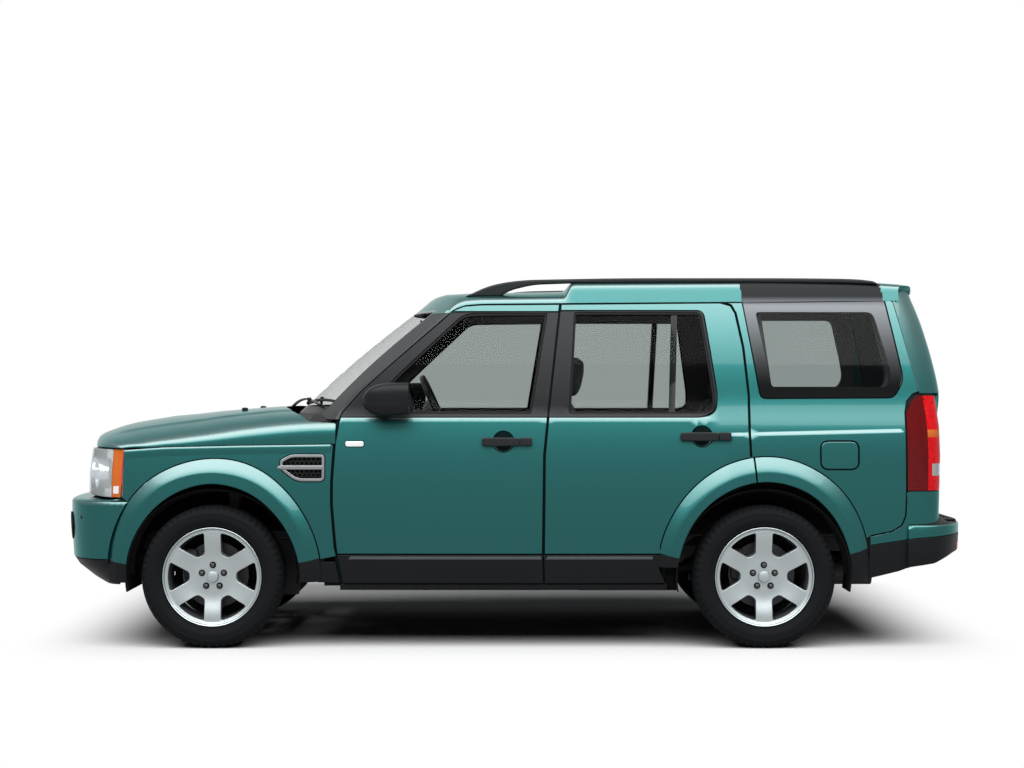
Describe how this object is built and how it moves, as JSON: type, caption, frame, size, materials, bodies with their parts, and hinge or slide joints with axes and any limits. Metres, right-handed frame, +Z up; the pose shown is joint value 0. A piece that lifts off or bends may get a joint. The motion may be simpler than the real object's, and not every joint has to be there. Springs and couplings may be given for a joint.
{
  "type": "sport utility vehicle",
  "caption": "Large off-road estate car in metallic teal with opening doors, bonnet and split tailgate, steered alloy wheels and roof rails.",
  "frame": {"origin": "on the ground under the middle of the vehicle", "axes": "-X is forwards, -Y is the vehicle's left side, +Z is up"},
  "size_m": [4.8348, 2.19, 1.9449],
  "materials": {
    "body_paint": "gloss",
    "black_trim": "satin",
    "gloss_trim": "gloss",
    "underbody": "matte",
    "steel": "satin",
    "alloy": "satin",
    "tread": "matte",
    "window": "gloss",
    "dark_window": "gloss",
    "clear_lamp": "gloss",
    "red_lamp": "gloss",
    "seat_cloth": "matte"
  },
  "bodies": {
    "body": {"body_sides": "body_paint", "front_wings": "body_paint", "roof_panel": "body_paint", "front_bumper": "body_paint", "rear_bumper": "body_paint", "lower_valances": "black_trim", "wheel_arch_liners": "black_trim", "cowl_panel": "black_trim", "dashboard": "black_trim", "grille": "gloss_trim", "chassis_frame": "underbody", "floor_pan": "underbody", "engine_block": "underbody", "driveline": "underbody", "fuel_tank": "underbody", "suspension_arms": "underbody", "rear_hub_carriers": "underbody", "exhaust_system": "steel", "spare_wheel": "steel", "roof_rails": "steel", "windscreen": "window", "quarter_glass": "dark_window", "headlamps": "clear_lamp", "tail_lamps": "red_lamp", "front_seats": "seat_cloth", "rear_seats": "seat_cloth"},
    "knuckle_left": {"knuckle_left": "underbody"},
    "knuckle_right": {"knuckle_right": "underbody"},
    "wheel_front_left": {"wheel_front_left": "alloy", "tyre_front_left": "tread"},
    "wheel_front_right": {"wheel_front_right": "alloy", "tyre_front_right": "tread"},
    "wheel_rear_left": {"wheel_rear_left": "alloy", "tyre_rear_left": "tread"},
    "wheel_rear_right": {"wheel_rear_right": "alloy", "tyre_rear_right": "tread"},
    "steering_wheel": {"steering_wheel": "black_trim"},
    "door_front_left": {"door_front_left": "body_paint", "door_glass_front_left": "window", "door_mirror_left": "black_trim"},
    "door_front_right": {"door_front_right": "body_paint", "door_glass_front_right": "window", "door_mirror_right": "black_trim"},
    "door_rear_left": {"door_rear_left": "body_paint", "door_glass_rear_left": "dark_window"},
    "door_rear_right": {"door_rear_right": "body_paint", "door_glass_rear_right": "dark_window"},
    "bonnet": {"bonnet": "body_paint"},
    "tailgate_upper": {"tailgate_upper": "body_paint", "tailgate_glass": "dark_window"},
    "tailgate_lower": {"tailgate_lower": "body_paint"},
    "fuel_flap": {"fuel_flap": "body_paint"}
  },
  "joints": [
    {"name": "steer_left", "type": "hinge", "parent": "body", "child": "knuckle_left", "pos_m": [-1.5795, -0.712, 0.373], "axis": [0, 0, 1], "range_deg": [-32, 32]},
    {"name": "spin_front_left", "type": "hinge", "parent": "knuckle_left", "child": "wheel_front_left", "pos_m": [-1.5795, -0.805, 0.373], "axis": [0, 1, 0], "continuous": true},
    {"name": "spin_rear_left", "type": "hinge", "parent": "body", "child": "wheel_rear_left", "pos_m": [1.3055, -0.805, 0.373], "axis": [0, 1, 0], "continuous": true},
    {"name": "open_door_front_left", "type": "hinge", "parent": "body", "child": "door_front_left", "pos_m": [-0.905, -0.923, 0.75], "axis": [0, 0, -1], "range_deg": [0, 66]},
    {"name": "open_door_rear_left", "type": "hinge", "parent": "body", "child": "door_rear_left", "pos_m": [0.2, -0.932, 0.75], "axis": [0, 0, -1], "range_deg": [0, 68]},
    {"name": "steer_right", "type": "hinge", "parent": "body", "child": "knuckle_right", "pos_m": [-1.5795, 0.712, 0.373], "axis": [0, 0, 1], "range_deg": [-32, 32]},
    {"name": "spin_front_right", "type": "hinge", "parent": "knuckle_right", "child": "wheel_front_right", "pos_m": [-1.5795, 0.805, 0.373], "axis": [0, 1, 0], "continuous": true},
    {"name": "spin_rear_right", "type": "hinge", "parent": "body", "child": "wheel_rear_right", "pos_m": [1.3055, 0.805, 0.373], "axis": [0, 1, 0], "continuous": true},
    {"name": "open_door_front_right", "type": "hinge", "parent": "body", "child": "door_front_right", "pos_m": [-0.905, 0.923, 0.75], "axis": [0, 0, 1], "range_deg": [0, 66]},
    {"name": "open_door_rear_right", "type": "hinge", "parent": "body", "child": "door_rear_right", "pos_m": [0.2, 0.932, 0.75], "axis": [0, 0, 1], "range_deg": [0, 68]},
    {"name": "turn_steering_wheel", "type": "hinge", "parent": "body", "child": "steering_wheel", "pos_m": [-0.43, -0.37, 1.25], "axis": [-0.9135, 0, -0.4067], "range_deg": [-480, 480]},
    {"name": "open_bonnet", "type": "hinge", "parent": "body", "child": "bonnet", "pos_m": [-0.95, 0, 1.2], "axis": [0, 1, 0], "range_deg": [0, 50]},
    {"name": "open_tailgate_upper", "type": "hinge", "parent": "body", "child": "tailgate_upper", "pos_m": [2.092, 0, 1.882], "axis": [0, -1, 0], "range_deg": [0, 82]},
    {"name": "open_tailgate_lower", "type": "hinge", "parent": "body", "child": "tailgate_lower", "pos_m": [2.3, 0, 0.715], "axis": [0, 1, 0], "range_deg": [0, 88]},
    {"name": "open_fuel_flap", "type": "hinge", "parent": "body", "child": "fuel_flap", "pos_m": [1.603, -0.9085, 1.008], "axis": [0, 0, -1], "range_deg": [0, 100]}
  ],
  "couplings": [
    {"joint": "steer_left", "follows": "turn_steering_wheel", "ratio": -0.066667},
    {"joint": "steer_right", "follows": "turn_steering_wheel", "ratio": -0.066667}
  ]
}
